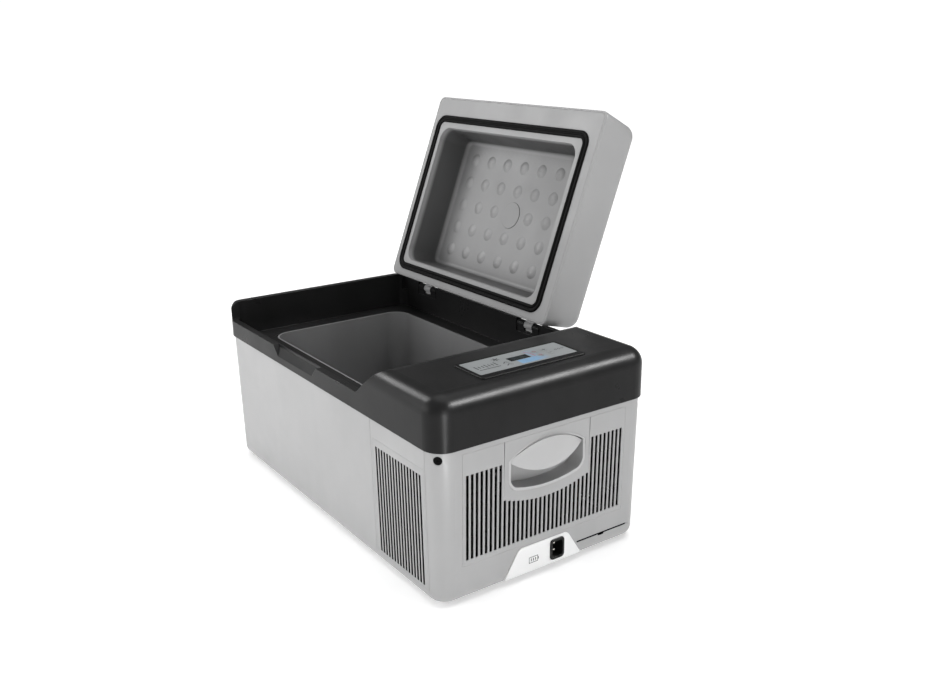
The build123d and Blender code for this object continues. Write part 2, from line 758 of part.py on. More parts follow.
top_row = COIL_ROWS[-1]
low_row = COIL_ROWS[0]
ROUTES = [
    # hot gas, compressor to the coil's first end
    ([(COMPRESSOR_X, COMPRESSOR_Y, COMPRESSOR_Z1), (COMPRESSOR_X, COMPRESSOR_Y, 131),
      (COIL_X, COMPRESSOR_Y, 131), (COIL_X, COMPRESSOR_Y, low_row),
      (COIL_X, COIL_Y1, low_row)], 8, COIL_R),
    # liquid, coil's last end to the drier
    ([(COIL_X, COIL_Y0, top_row), (COIL_X, COIL_Y0 - 12, top_row), (COIL_X, COIL_Y0 - 12, 124),
      (DRIER_X, COIL_Y0 - 12, 124), (DRIER_X, DRIER_Y, 124), (DRIER_X, DRIER_Y, 113)], 6, 2.5),
    # capillary, drier to the cold plate
    ([(DRIER_X, DRIER_Y, 37), (DRIER_X, DRIER_Y, 26), (DRIER_X - 14, DRIER_Y, 26),
      (DRIER_X - 14, DRIER_Y, 140), (BULKHEAD_X - 0.2, DRIER_Y, 140)], 5, 1.5),
    # suction, cold plate back to the compressor
    ([(BULKHEAD_X - 0.2, COMPRESSOR_Y, 150), (132, COMPRESSOR_Y, 150), (132, COMPRESSOR_Y, 60),
      (COMPRESSOR_X - COMPRESSOR_R, COMPRESSOR_Y, 60)], 5, 3),
]
with BuildPart() as refrigerant_pipes:
    for route, bend, radius in ROUTES:
        add(pipe(route, bend, radius))
pieces["refrigerant_pipes"] = refrigerant_pipes.part

with BuildPart(Plane((DRIER_X, DRIER_Y, 0))) as filter_drier:
    with Locations((0, 0, 37)):
        Cylinder(9, 76, align=STANDING)
    chamfer(filter_drier.edges().filter_by(GeomType.CIRCLE), 6)
pieces["filter_drier"] = filter_drier.part

FAN_PLANE = Plane((FAN_X, FAN_Y, FAN_Z), x_dir=(0, 1, 0), z_dir=(1, 0, 0))
with BuildPart() as fan_shroud:
    with BuildSketch(FAN_PLANE):
        RectangleRounded(FAN_SIZE, FAN_SIZE, 5)
        Circle(FAN_BORE_R, mode=Mode.SUBTRACT)
        with GridLocations(82.5, 82.5, 2, 2):
            Circle(2.2, mode=Mode.SUBTRACT)
    extrude(amount=FAN_DEPTH)
    with BuildSketch(FAN_PLANE):
        Circle(17)
        for angle in (30, 150, 270):
            with Locations(Rotation(0, 0, angle)):
                with Locations((30, 0)):
                    Rectangle(30, 4)
    extrude(amount=3)
    for y in (FAN_Y - 40, FAN_Y + 32):
        add(span(FAN_X, FAN_X + 12, y, y + 8, TRAY_Z1, FAN_Z - FAN_SIZE / 2 + 1))
pieces["fan_shroud"] = fan_shroud.part

with BuildPart() as fan_motor:
    with BuildSketch(FAN_PLANE.offset(3)):
        Circle(12)
    extrude(amount=12)
    with BuildSketch(FAN_PLANE.offset(15)):
        Circle(SHAFT_R)
    extrude(amount=8.5)
pieces["fan_motor"] = fan_motor.part

with BuildPart() as fan_rotor:
    with BuildSketch(FAN_PLANE.offset(5)):
        Circle(17.5)
    extrude(amount=18)
    fillet(fan_rotor.faces().sort_by(Axis.X)[-1].edges(), 2)
    for i in range(BLADES):
        spoke = FAN_PLANE.location * Rotation(0, 0, i * 360 / BLADES)
        blade = Pos(29, 0, 14) * Rotation(35, 0, 0) * Box(25, 24, 1.4, mode=Mode.PRIVATE)
        add(spoke * blade)
    with BuildSketch(FAN_PLANE.offset(5)):
        Circle(13)
    extrude(amount=14, mode=Mode.SUBTRACT)
    with BuildSketch(FAN_PLANE.offset(5)):
        Circle(SHAFT_R + PIN_PLAY)
    extrude(amount=20, mode=Mode.SUBTRACT)
pieces["fan_rotor"] = fan_rotor.part

with BuildPart() as power_board:
    add(span(136, 216, -139, -137.4, 126, 176))
    # heat sink, with its fins, and three capacitors
    add(span(142, 176, -137.5, -133, 134, 168))
    for i in range(6):
        x = 143 + i * 6
        add(span(x, x + 1.5, -133.5, -121, 134, 168))
    for z in (136, 150, 164):
        with BuildSketch(Plane.XZ.offset(137.5)):
            with Locations((196, z)):
                Circle(6)
        extrude(amount=-18)
pieces["power_board"] = power_board.part

with BuildPart() as display_board:
    add(span(208, 252, -55, 60, 247.6, 249.2))
    add(span(215, 237, -11, 11, 249.1, 252.5))
pieces["display_board"] = display_board.part

# ---------------------------------------------------------------- control pod
with BuildPart() as control_pod:
    add(tray(POD_X0, POD_X1, -POD_Y, POD_Y, POD_Z0, POD_Z1 - POD_Z0, POD_R))
    chamfer(control_pod.faces().sort_by(Axis.Z)[-1].edges(), 0.7)
    label_seat = tray(
        LABEL_X0 - FIT,
        LABEL_X1 + FIT,
        -LABEL_Y - FIT,
        LABEL_Y + FIT,
        POD_Z1 - LABEL_T,
        5,
        LABEL_R + FIT,
    )
    add(label_seat, mode=Mode.SUBTRACT)
    with BuildSketch(Plane.XY.offset(POD_Z0 + 1)):
        with Locations((SCREEN_X, 0)):
            Rectangle(SCREEN_W, SCREEN_L)
        with Locations(*KEY_PLACES.values()):
            Circle(KEY_R + 1.4)
    extrude(amount=5, mode=Mode.SUBTRACT)
pieces["control_pod"] = control_pod.part

with BuildPart() as control_label:
    add(tray(LABEL_X0, LABEL_X1, -LABEL_Y, LABEL_Y, POD_Z1 - LABEL_T, LABEL_T, LABEL_R))
    with BuildSketch(Plane.XY.offset(POD_Z0)):
        with Locations((SCREEN_X, 0)):
            Rectangle(SCREEN_W, SCREEN_L)
        with Locations(*KEY_PLACES.values()):
            Circle(KEY_R + 0.3)
    extrude(amount=10, mode=Mode.SUBTRACT)
pieces["control_label"] = control_label.part

screen_half = SCREEN_L / 2 - FIT
with BuildPart() as display_window:
    add(
        span(
            SCREEN_X - SCREEN_W / 2 + FIT,
            SCREEN_X + SCREEN_W / 2 - FIT,
            -screen_half,
            screen_half,
            POD_Z0 + 1,
            POD_Z1,
        )
    )
pieces["display_window"] = display_window.part

for name, (x, y) in KEY_PLACES.items():
    with BuildPart(Plane((x, y, POD_Z1))) as key:
        # the flange stays under the label, the button stands through it
        with Locations((0, 0, -LABEL_T - 0.9)):
            Cylinder(KEY_R + 0.8, 0.6, align=STANDING)
            Cylinder(KEY_R, 1.8, align=STANDING)
        fillet(key.faces().sort_by(Axis.Z)[-1].edges(), 0.3)
    pieces[name] = key.part

# ---------------------------------------------------------------- power inlet
with BuildPart() as inlet_plate:
    extrude(Pos(X=PLATE_X0) * inlet_outline(0), amount=PLATE_X1 - PLATE_X0)
    add(inlet_hole, mode=Mode.SUBTRACT)
pieces["inlet_plate"] = inlet_plate.part

INLET_PLANE = Plane((0, INLET_Y, INLET_Z), x_dir=(0, 1, 0), z_dir=(1, 0, 0))
PINS = Locations((0, -PIN_PITCH / 2), (0, PIN_PITCH / 2))
with BuildPart() as inlet_socket:
    with BuildSketch(INLET_PLANE.offset(258)):
        RectangleRounded(20, 25.6, 3)
    extrude(amount=PLATE_X1 - 258)
    with BuildSketch(INLET_PLANE.offset(PLATE_X1)):
        RectangleRounded(22, 27.5, 5)
    extrude(amount=1.5)
    fillet(inlet_socket.faces().sort_by(Axis.X)[-1].edges(), 0.7)
    with BuildSketch(INLET_PLANE.offset(264)):
        RectangleRounded(16, 21, 3)
    extrude(amount=30, mode=Mode.SUBTRACT)
    with BuildSketch(INLET_PLANE.offset(250)):
        with PINS:
            Circle(1.4)
    extrude(amount=20, mode=Mode.SUBTRACT)
pieces["inlet_socket"] = inlet_socket.part

with BuildPart() as inlet_pins:
    with BuildSketch(INLET_PLANE.offset(256)):
        with PINS:
            Circle(1.4)
    extrude(amount=20)
    fillet(inlet_pins.faces().group_by(Axis.X)[-1].edges(), 0.6)
pieces["inlet_pins"] = inlet_pins.part

# ---------------------------------------------------------------- hinges, frame side
with BuildPart() as hinge_bases:
    for x in HINGE_X:
        add(span(x - 24, x + 24, 150, 159, RIM_Z, 220.5))
        for side in (-1, 1):
            low = x + min(side * 9, side * 24)
            add(span(low, low + 15, 150, 159, 220, HINGE_Z))
            with BuildSketch(Plane.YZ.offset(low)):
                with Locations((HINGE_Y, HINGE_Z)):
                    Circle(BARREL_R)
            extrude(amount=15)
    with BuildSketch(Plane.YZ):
        with Locations((HINGE_Y, HINGE_Z)):
            Circle(PIN_R)
    extrude(amount=FAR_CUT, both=True, mode=Mode.SUBTRACT)
pieces["hinge_bases"] = hinge_bases.part

with BuildPart() as hinge_pins:
    for x in HINGE_X:
        with BuildSketch(Plane.YZ.offset(x - 24)):
            with Locations((HINGE_Y, HINGE_Z)):
                Circle(PIN_R)
        extrude(amount=48)
        for end in (x - 25.2, x + 24):
            with BuildSketch(Plane.YZ.offset(end)):
                with Locations((HINGE_Y, HINGE_Z)):
                    Circle(PIN_R + 1.2)
            extrude(amount=1.2)
pieces["hinge_pins"] = hinge_pins.part

# ---------------------------------------------------------------- lid, made closed, then opened
lid_pieces = {}
LID_CORE = lid_form(LID_WALL, LID_RIM_Z - 1, LID_TOP_Z - 3.5, LID_TOP_R - 3)

with BuildPart() as lid_shell:
    add(lid_form(0, LID_RIM_Z, LID_TOP_Z, LID_TOP_R))
    fillet(lid_shell.faces().sort_by(Axis.Z)[0].edges(), 2.2)
    add(LID_CORE, mode=Mode.SUBTRACT)
lid_pieces["lid_shell"] = lid_shell.part

with BuildPart() as lid_liner:
    add(lid_form(LID_WALL + 0.25, LID_RIM_Z, LID_RIM_Z + 3.5, 0))
    add(bowl_form(2.0, LID_RIM_Z, BOWL_FLOOR_Z + 2, 6))
    add(bowl_form(0, LID_RIM_Z - 0.001, BOWL_FLOOR_Z, 7), mode=Mode.SUBTRACT)
    add(seal_ring(LID_RIM_Z - 1, SEAL_Z1, 0.15), mode=Mode.SUBTRACT)
    # shallow round bumps on the bowl's floor, with the filler plug in place of the middle one
    ball_r = (BUMP_R**2 + BUMP_H**2) / (2 * BUMP_H)
    for i in range(-3, 4):
        for j in range(-2, 3):
            if (i, j) == (0, 0):
                continue
            x = BOWL_CX + i * BUMP_PITCH_X
            y = BOWL_CY + j * BUMP_PITCH_Y
            ball = Sphere(ball_r, mode=Mode.PRIVATE)
            cap = Pos(x, y, BOWL_FLOOR_Z - BUMP_H + ball_r) * ball
            add(cap & span(x - 11, x + 11, y - 11, y + 11, BOWL_FLOOR_Z - 3, BOWL_FLOOR_Z + 1))
    with BuildSketch(Plane.XY.offset(BOWL_FLOOR_Z - 5)):
        with Locations((BOWL_CX, BOWL_CY)):
            Circle(PLUG_R + 0.15)
    extrude(amount=20, mode=Mode.SUBTRACT)
lid_pieces["lid_liner"] = lid_liner.part

with BuildPart(Plane((BOWL_CX, BOWL_CY, BOWL_FLOOR_Z - 0.8))) as lid_plug:
    Cylinder(PLUG_R, 2.8, align=STANDING)
    fillet(lid_plug.faces().sort_by(Axis.Z)[0].edges(), 0.5)
lid_pieces["lid_plug"] = lid_plug.part

with BuildPart() as lid_gasket:
    add(seal_ring(SEAL_Z0, SEAL_Z1, 0))
    fillet(lid_gasket.faces().sort_by(Axis.Z)[0].edges(), 1.8)
lid_pieces["lid_gasket"] = lid_gasket.part

with BuildPart() as lid_foam:
    add(lid_form(LID_WALL + 0.4, LID_RIM_Z + 4, LID_TOP_Z - 4, LID_TOP_R - 4))
    add(bowl_form(2.5, LID_RIM_Z + 3, BOWL_FLOOR_Z + 2.5, 5), mode=Mode.SUBTRACT)
lid_pieces["lid_foam"] = lid_foam.part

with BuildPart() as lid_hinges:
    for x in HINGE_X:
        add(span(x - 17, x + 17, 138, 146.8, 214, 244))
        add(span(x - 8.5, x + 8.5, 138, HINGE_Y, 226, 232))
        with BuildSketch(Plane.YZ.offset(x - 8.5)):
            with Locations((HINGE_Y, HINGE_Z)):
                Circle(BARREL_R)
        extrude(amount=17)
    add(lid_form(-0.02, LID_RIM_Z, LID_TOP_Z, 0), mode=Mode.SUBTRACT)
    with BuildSketch(Plane.YZ):
        with Locations((HINGE_Y, HINGE_Z)):
            Circle(PIN_R + PIN_PLAY)
    extrude(amount=FAR_CUT, both=True, mode=Mode.SUBTRACT)
lid_pieces["lid_hinges"] = lid_hinges.part

for name, piece in lid_pieces.items():
    pieces[name] = open_lid(piece)

# the heel on each lid barrel that meets the frame when the lid is fully open
for x in HINGE_X:
    heel = span(x - 8.5, x + 8.5, HINGE_Y - 2, HINGE_Y + 2, 220.8, HINGE_Z - PIN_R - 1)
    pieces["lid_hinges"] = pieces["lid_hinges"] + heel

# ---------------------------------------------------------------- write every piece
os.makedirs("parts", exist_ok=True)
for name, piece in pieces.items():
    piece.label = name
    export_step(piece, f"parts/{name}.step")
    print(name, piece.is_valid, len(piece.solids()), round(piece.volume))
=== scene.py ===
"""Compressor cooler fridge with its lid open: looks, small mesh pieces, camera and light."""

import json
import math

import bmesh
import bpy
from mathutils import Matrix, Vector


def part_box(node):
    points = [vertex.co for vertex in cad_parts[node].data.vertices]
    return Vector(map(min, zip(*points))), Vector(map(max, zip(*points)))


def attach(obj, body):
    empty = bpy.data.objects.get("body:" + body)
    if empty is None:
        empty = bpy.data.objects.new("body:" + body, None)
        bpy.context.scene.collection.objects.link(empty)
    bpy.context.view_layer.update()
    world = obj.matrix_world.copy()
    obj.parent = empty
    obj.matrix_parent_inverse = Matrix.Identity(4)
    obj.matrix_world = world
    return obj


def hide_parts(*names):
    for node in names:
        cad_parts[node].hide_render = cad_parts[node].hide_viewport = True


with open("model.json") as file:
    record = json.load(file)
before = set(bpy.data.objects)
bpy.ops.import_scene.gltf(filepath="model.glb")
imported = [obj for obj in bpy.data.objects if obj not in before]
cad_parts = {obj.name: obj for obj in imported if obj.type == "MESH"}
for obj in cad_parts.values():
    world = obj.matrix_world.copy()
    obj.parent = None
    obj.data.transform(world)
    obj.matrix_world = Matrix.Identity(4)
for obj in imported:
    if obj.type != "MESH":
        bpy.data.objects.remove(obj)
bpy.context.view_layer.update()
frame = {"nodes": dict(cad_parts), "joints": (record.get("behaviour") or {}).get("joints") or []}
NODES = frame["nodes"]
JOINTS = {joint["name"]: joint for joint in frame["joints"]}

# ------------------------------------------------------------------ places taken from the frame
HINGE = Vector(JOINTS["lid_hinge"]["pos_m"])
LID_OPEN = math.radians(JOINTS["lid_hinge"]["range_deg"][1])
CASING_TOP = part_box("outer_casing")[1]
PRINT_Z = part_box("control_label")[1].z
KEY_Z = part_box("key_power")[1].z
PLATE_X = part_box("inlet_plate")[1].x

# ------------------------------------------------------------------ node helpers


class Graph:
    """A material's nodes, made by short calls that return the new node's output."""

    def __init__(self, name):
        self.material = bpy.data.materials.new(name)
        self.material.use_nodes = True
        self.tree = self.material.node_tree
        self.tree.nodes.clear()
        self.output = self.tree.nodes.new("ShaderNodeOutputMaterial")
        self.shader = self.tree.nodes.new("ShaderNodeBsdfPrincipled")
        self.tree.links.new(self.shader.outputs[0], self.output.inputs[0])
        self.coord = self.tree.nodes.new("ShaderNodeTexCoord").outputs["Object"]

    def feed(self, socket, value):
        """Link an output to a socket, or set the socket to a plain value."""
        if isinstance(value, bpy.types.NodeSocket):
            self.tree.links.new(value, socket)
        else:
            socket.default_value = value

    def add(self, kind, inputs, out=0, **props):
        """Make a node of this kind, with its inputs fed and its properties set."""
        node = self.tree.nodes.new(kind)
        for key, value in props.items():
            setattr(node, key, value)
        for key, value in inputs.items():
            self.feed(node.inputs[key], value)
        return node.outputs[out]

    def stretch(self, scale):
        """Object coordinates times a scale for each axis."""
        return self.add("ShaderNodeMapping", {"Vector": self.coord, "Scale": scale})

    def noise(self, scale, detail=3.0, rough=0.5, vector=None, distortion=0.0):
        """Cloudy noise, about 0.5 on average."""
        inputs = {
            "Vector": vector or self.coord,
            "Scale": scale,
            "Detail": detail,
            "Roughness": rough,
            "Distortion": distortion,
        }
        return self.add("ShaderNodeTexNoise", inputs)

    def cells(self, scale, vector=None, feature="F1"):
        """Voronoi cells: how far a point is from its cell's middle, or from its edge."""
        inputs = {"Vector": vector or self.coord, "Scale": scale}
        return self.add("ShaderNodeTexVoronoi", inputs, feature=feature)

    def ramp(self, factor, stops):
        """Map a factor through colour stops, each a position and a colour or a grey."""
        node = self.tree.nodes.new("ShaderNodeValToRGB")
        ramp = node.color_ramp
        while len(ramp.elements) < len(stops):
            ramp.elements.new(0.5)
        for element, (place, colour) in zip(ramp.elements, stops):
            element.position = place
            rgb = colour if isinstance(colour, tuple) else (colour,) * 3
            element.color = (*rgb, 1.0)
        self.feed(node.inputs[0], factor)
        return node.outputs[0]

    def span(self, value, low, high, from_low=0.0, from_high=1.0):
        """Map a value from one range to another, clamped."""
        inputs = {
            "Value": value,
            "From Min": from_low,
            "From Max": from_high,
            "To Min": low,
            "To Max": high,
        }
        return self.add("ShaderNodeMapRange", inputs)

    def math(self, operation, a, b=0.0):
        """One sum on two values."""
        node = self.tree.nodes.new("ShaderNodeMath")
        node.operation = operation
        self.feed(node.inputs[0], a)
        self.feed(node.inputs[1], b)
        return node.outputs[0]

    def dot(self, a, b):
        """How far one vector runs along another."""
        node = self.tree.nodes.new("ShaderNodeVectorMath")
        node.operation = "DOT_PRODUCT"
        self.feed(node.inputs[0], a)
        self.feed(node.inputs[1], b)
        return node.outputs["Value"]

    def axes(self):
        """The object coordinates' three separate outputs."""
        node = self.tree.nodes.new("ShaderNodeSeparateXYZ")
        self.feed(node.inputs[0], self.coord)
        return node.outputs

    def mix(self, factor, a, b):
        """Blend from the first colour or value to the second."""
        node = self.tree.nodes.new("ShaderNodeMix")
        node.data_type = "RGBA"
        self.feed(node.inputs["Factor"], factor)
        for key, value in ((6, a), (7, b)):
            if isinstance(value, tuple) and len(value) == 3:
                value = (*value, 1.0)
            self.feed(node.inputs[key], value)
        return node.outputs[2]

    def soft_edges(self, radius):
        """A normal that rounds sharp edges by a small radius."""
        return self.add("ShaderNodeBevel", {"Radius": radius}, samples=4)

    def edge_rub(self, rounded):
        """Bright where the rounded normal leaves the true one, so along rubbed edges."""
        true = self.add("ShaderNodeNewGeometry", {}, out="Normal")
        return self.span(self.dot(rounded, true), 1.0, 0.0, 0.8, 0.99)

    def bump(self, height, strength, distance, under=None):
        """A normal with relief from a height, over another normal if one is given."""
        inputs = {"Strength": strength, "Distance": distance, "Height": height}
        if under is not None:
            inputs["Normal"] = under
        return self.add("ShaderNodeBump", inputs)

    def finish(self, **values):
        """Feed the shader's inputs by their short names, and give the material."""
        names = {
            "colour": "Base Color",
            "rough": "Roughness",
            "metal": "Metallic",
            "normal": "Normal",
            "specular": "Specular IOR Level",
            "emission": "Emission Color",
            "glow": "Emission Strength",
        }
        for key, value in values.items():
            if isinstance(value, tuple) and len(value) == 3:
                value = (*value, 1.0)
            self.feed(self.shader.inputs[names[key]], value)
        return self.material


# the casing's outer form: walls that lean in by a degree below the trim, and round corners
WALL_LEAN = math.tan(math.radians(1))
CORNER_R = 0.025
BASE_Z = 0.0165
SKIN_BLEND = 0.0002


def wall_mask(g, depth):
    """1 on the casing's outer skin and 0 deeper than this depth, where the inner faces get painted
    black shade.
    """
    place = g.axes()
    lean = g.math("MULTIPLY", g.math("SUBTRACT", CASING_TOP.z, place[2]), WALL_LEAN)
    across = []
    for axis, flat in ((0, CASING_TOP.x - CORNER_R), (1, CASING_TOP.y - CORNER_R)):
        out = g.math("ADD", g.math("ABSOLUTE", place[axis]), lean)
        across.append(g.math("MAXIMUM", g.math("SUBTRACT", out, flat), 0.0))
    squares = [g.math("MULTIPLY", value, value) for value in across]
    reach = g.math("SQRT", g.math("ADD", *squares))
    skin = g.span(reach, 0.0, 1.0, CORNER_R - SKIN_BLEND - depth, CORNER_R - depth)
    low = g.math("LESS_THAN", place[2], BASE_Z)
    return g.math("MAXIMUM", skin, low)


# the way into the open lid's bowl, and how far along it the walls begin
INTO_BOWL = (0.0, math.sin(LID_OPEN), math.cos(LID_OPEN))
BOWL_RIM = 0.0325
BOWL_WALL = 0.0385


def bowl_wall_shade_mask(g):
    """1 on the side walls of the open lid's bowl, where painted shade goes, and 0 on its floor and
    rim.
    """
    depth = g.dot(g.coord, INTO_BOWL)
    inside = g.span(depth, 0.0, 1.0, BOWL_RIM, BOWL_WALL)
    normal = g.tree.nodes.new("ShaderNodeTexCoord").outputs["Normal"]
    flat = g.math("ABSOLUTE", g.dot(normal, INTO_BOWL))
    return g.math("MULTIPLY", inside, g.span(flat, 1.0, 0.0, 0.25, 0.95))


def moulded(name, dark, light, rough, grain=0.00003, grain_scale=2600.0, specular=0.5,
            flow=0.35, edge=0.0006, inner_shade_depth=0.0, cavity_shade=0.0, bowl=0.0):
    """Moulded plastic: faint flow streaks, a fine spark-eroded grain, and handled patches.

    Past a depth under its outer skin the casing is painted near black without reflection,
    a painted shade for the dark inside the slots. Two options paint shade as well: into hollows,
    and onto the walls of the lid's bowl.
    """
    g = Graph(name)
    cloud = g.noise(9.0, 5.0, 0.55)
    streak = g.noise(26.0, 3.0, 0.5, g.stretch((1.0, 1.0, 0.22)), 0.4)
    tone = g.mix(flow, cloud, streak)
    colour = g.ramp(tone, [(0.3, dark), (0.7, light)])
    speck = g.ramp(g.noise(950.0, 2.0, 0.6), [(0.66, 0.0), (0.8, 1.0)])
    colour = g.mix(g.math("MULTIPLY", speck, 0.06), colour, tuple(min(1.0, c * 1.6) for c in light))
    rounded = g.soft_edges(edge)
    rub = g.math("MULTIPLY", g.edge_rub(rounded), 0.2)
    colour = g.mix(rub, colour, tuple(min(1.0, c * 1.3) for c in light))
    # painted shade: ambient occlusion darkens hollows and corners towards a deep tone of the dark
    # colour
    if cavity_shade:
        shade = g.add("ShaderNodeAmbientOcclusion", {"Distance": 0.09}, out="AO", samples=8)
        shade = g.span(shade, 1.0, 0.0, 0.42, 0.8)
        colour = g.mix(g.math("MULTIPLY", shade, cavity_shade), colour, tuple(c * 0.12 for c in dark))
    # painted shade on the side walls of the open lid's bowl, darkened towards a deep tone of the
    # dark colour
    if bowl:
        walls = g.math("MULTIPLY", bowl_wall_shade_mask(g), bowl)
        colour = g.mix(walls, colour, tuple(c * 0.1 for c in dark))
    # painted shade: deeper than the given depth the casing turns near black and loses its
    # reflection, standing for the dark inside the slots
    if inner_shade_depth:
        skin = wall_mask(g, inner_shade_depth)
        colour = g.mix(skin, (0.002, 0.002, 0.002), colour)
        specular = g.math("MULTIPLY", skin, specular)
    handled = g.noise(14.0, 6.0, 0.6, None, 0.6)
    roughness = g.span(handled, rough[0], rough[1], 0.35, 0.65)
    fine = g.noise(grain_scale, 2.0, 0.6)
    pits = g.cells(grain_scale * 0.55)
    normal = g.bump(g.mix(0.4, fine, pits), 0.5, grain, rounded)
    normal = g.bump(g.noise(11.0, 2.0, 0.5), 0.1, 0.0008, normal)
    return g.finish(colour=colour, rough=roughness, normal=normal, specular=specular)


def metal(name, dark, light, rough, scale=(1.0, 1.0, 1.0), metallic=1.0, specular=0.5):
    """Bare or plated metal with drawn streaks, stains and small scratches."""
    g = Graph(name)
    streak = g.noise(60.0, 4.0, 0.6, g.stretch(scale))
    stain = g.noise(22.0, 6.0, 0.62, None, 0.8)
    colour = g.ramp(g.mix(0.45, streak, stain), [(0.32, dark), (0.68, light)])
    scratch = g.noise(420.0, 2.0, 0.5, g.stretch(scale))
    roughness = g.span(g.mix(0.5, stain, scratch), rough[0], rough[1], 0.3, 0.7)
    normal = g.bump(scratch, 0.3, 0.00006)
    return g.finish(colour=colour, rough=roughness, normal=normal, metal=metallic,
                    specular=specular)


def soft_rubber(name, tone, rough=(0.55, 0.75)):
    """Rubber with a dusty bloom and a fine pebbled skin."""
    g = Graph(name)
    bloom = g.noise(70.0, 5.0, 0.6)
    colour = g.ramp(bloom, [(0.35, tone), (0.75, tuple(c * 1.8 + 0.002 for c in tone))])
    skin = g.cells(1500.0)
    normal = g.bump(skin, 0.3, 0.00004)
    return g.finish(colour=colour, rough=g.span(bloom, *rough, 0.3, 0.7), normal=normal,
                    specular=0.06)


def paint(node, material):
    """Give a CAD node's object this one material."""
    mesh = NODES[node].data
    mesh.materials.clear()
    mesh.materials.append(material)
    mesh.polygons.foreach_set("material_index", [0] * len(mesh.polygons))


# ------------------------------------------------------------------ materials
GREY_DARK = (0.35, 0.35, 0.352)
GREY_LIGHT = (0.395, 0.395, 0.397)
casing = moulded("casing satin grey", GREY_DARK, GREY_LIGHT, (0.34, 0.44), inner_shade_depth=0.0006)
side_panel = moulded("side grille satin grey", GREY_DARK, GREY_LIGHT, (0.38, 0.48), edge=0.0002,
                     inner_shade_depth=0.0003)
end_panel = moulded("end grille satin grey", GREY_DARK, GREY_LIGHT, (0.38, 0.48), edge=0.0002,
                    inner_shade_depth=0.0009)
lid_out = moulded("lid satin grey", (0.355, 0.355, 0.357), (0.395, 0.395, 0.397), (0.44, 0.54),
                  specular=0.25)
liner = moulded("liner grey", (0.30, 0.30, 0.302), (0.335, 0.335, 0.337), (0.44, 0.55),
                grain=0.00002, cavity_shade=0.5, specular=0.3, bowl=0.82)
tub = moulded("tub grey", (0.23, 0.23, 0.233), (0.27, 0.27, 0.273), (0.40, 0.52), grain=0.00002,
              cavity_shade=0.6)
grip = moulded("handle pale grey", (0.44, 0.44, 0.442), (0.49, 0.49, 0.492), (0.30, 0.42),
               edge=0.0008, cavity_shade=0.25)
black = moulded("frame satin black", (0.012, 0.012, 0.0122), (0.020, 0.020, 0.0202), (0.27, 0.36),
                grain=0.00003, grain_scale=2000.0, specular=0.1, edge=0.0012)
pod_black = moulded("pod black", (0.006, 0.006, 0.0062), (0.011, 0.011, 0.0112), (0.3, 0.4),
                    specular=0.06)
white = moulded("plate white", (0.80, 0.80, 0.80), (0.88, 0.88, 0.88), (0.35, 0.45))
socket_black = moulded("socket black", (0.003, 0.003, 0.003), (0.007, 0.007, 0.007), (0.35, 0.5),
                       specular=0.2)
fan_black = moulded("fan black", (0.008, 0.008, 0.0085), (0.014, 0.014, 0.0145), (0.5, 0.6),
                    specular=0.1)
screw_black = moulded("screw black", (0.002, 0.002, 0.002), (0.004, 0.004, 0.004), (0.5, 0.6),
                      specular=0.05)
zinc = metal("zinc plate", (0.38, 0.38, 0.40), (0.58, 0.58, 0.60), (0.3, 0.5), (0.2, 1.0, 1.0))
copper = metal("copper tube", (0.05, 0.022, 0.013), (0.11, 0.055, 0.034), (0.6, 0.8), metallic=0.25,
               specular=0.1)
brass = metal("contact metal", (0.62, 0.60, 0.55), (0.85, 0.83, 0.78), (0.15, 0.3))
fins = metal("fin aluminium", (0.55, 0.56, 0.58), (0.78, 0.79, 0.80), (0.28, 0.45), (1.0, 1.0, 0.2))
dark_steel = metal("machine bay black", (0.003, 0.003, 0.003), (0.007, 0.007, 0.007), (0.5, 0.7),
                   metallic=0.0, specular=0.06)
shell_black = metal("compressor paint", (0.006, 0.006, 0.0065), (0.014, 0.014, 0.0145), (0.45, 0.6),
                    metallic=0.0, specular=0.1)
gasket = soft_rubber("gasket rubber", (0.0015, 0.0015, 0.0015), (0.5, 0.7))
foot_rubber = soft_rubber("foot rubber", (0.012, 0.012, 0.012))


def foam_material():
    """Poured foam: closed cells, with browner skin patches."""
    g = Graph("foam yellow")
    patch = g.noise(18.0, 6.0, 0.6)
    colour = g.ramp(patch, [(0.3, (0.62, 0.50, 0.25)), (0.7, (0.80, 0.72, 0.48))])
    normal = g.bump(g.cells(700.0), 0.6, 0.0004)
    return g.finish(colour=colour, rough=g.span(patch, 0.8, 0.95), normal=normal)


def board_material():
    """Green solder mask with lighter traces under it."""
    g = Graph("board green")
    traces = g.ramp(g.cells(120.0, g.stretch((1.0, 0.2, 1.0)), "DISTANCE_TO_EDGE"),
                    [(0.03, 1.0), (0.07, 0.0)])
    colour = g.mix(traces, (0.004, 0.022, 0.008), (0.008, 0.045, 0.016))
    return g.finish(colour=colour, rough=g.span(g.noise(80.0), 0.3, 0.45),
                    normal=g.bump(traces, 0.3, 0.00005))


def shade_cloth_material():
    """Black woven screen whose black stands in for the shade inside the bay: a fine over-and-under
    weave with dust in it.
    """
    g = Graph("shade screen black")
    weave = g.cells(1400.0, g.stretch((1.0, 1.0, 0.5)))
    dust = g.noise(45.0, 5.0, 0.6)
    colour = g.ramp(dust, [(0.35, (0.002, 0.002, 0.002)), (0.75, (0.006, 0.006, 0.0058))])
    return g.finish(colour=colour, rough=g.span(dust, 0.8, 0.95), specular=0.03,
                    normal=g.bump(weave, 0.4, 0.00008))


shade_screen_cloth = shade_cloth_material()
foam = foam_material()
board = board_material()

